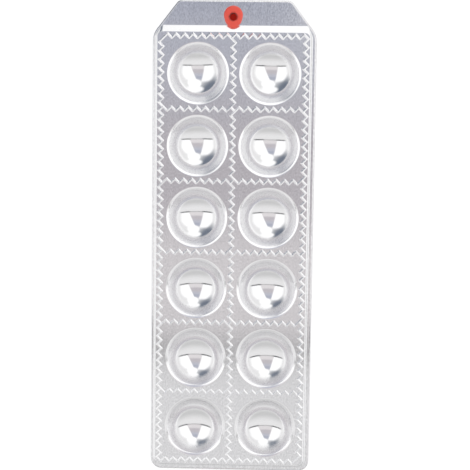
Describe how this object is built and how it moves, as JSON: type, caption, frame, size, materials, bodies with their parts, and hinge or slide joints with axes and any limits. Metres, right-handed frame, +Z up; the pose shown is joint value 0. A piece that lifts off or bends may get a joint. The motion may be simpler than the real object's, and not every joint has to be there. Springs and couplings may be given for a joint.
{
  "type": "ravioli mold",
  "caption": "Pressed aluminium ravioli mould: a tray of round bowls with zigzag cutting ridges, and an end tab with an eyelet for hanging.",
  "frame": {"origin": "centre of the tray's outline on the standing plane, under the lower edge of the wall", "axes": "+X across the tray, +Y along the tray towards the tab with the eyelet, +Z up, out of the bowls' mouths"},
  "size_m": [0.1022, 0.2992, 0.0158],
  "materials": {
    "aluminium": "bright pressed aluminium, fine brushed grain on the flats, polished bowls",
    "red_plastic": "semi-gloss moulded plastic"
  },
  "bodies": {
    "root": {"tray": "aluminium", "hanging_eyelet": "red_plastic"}
  },
  "joints": []
}
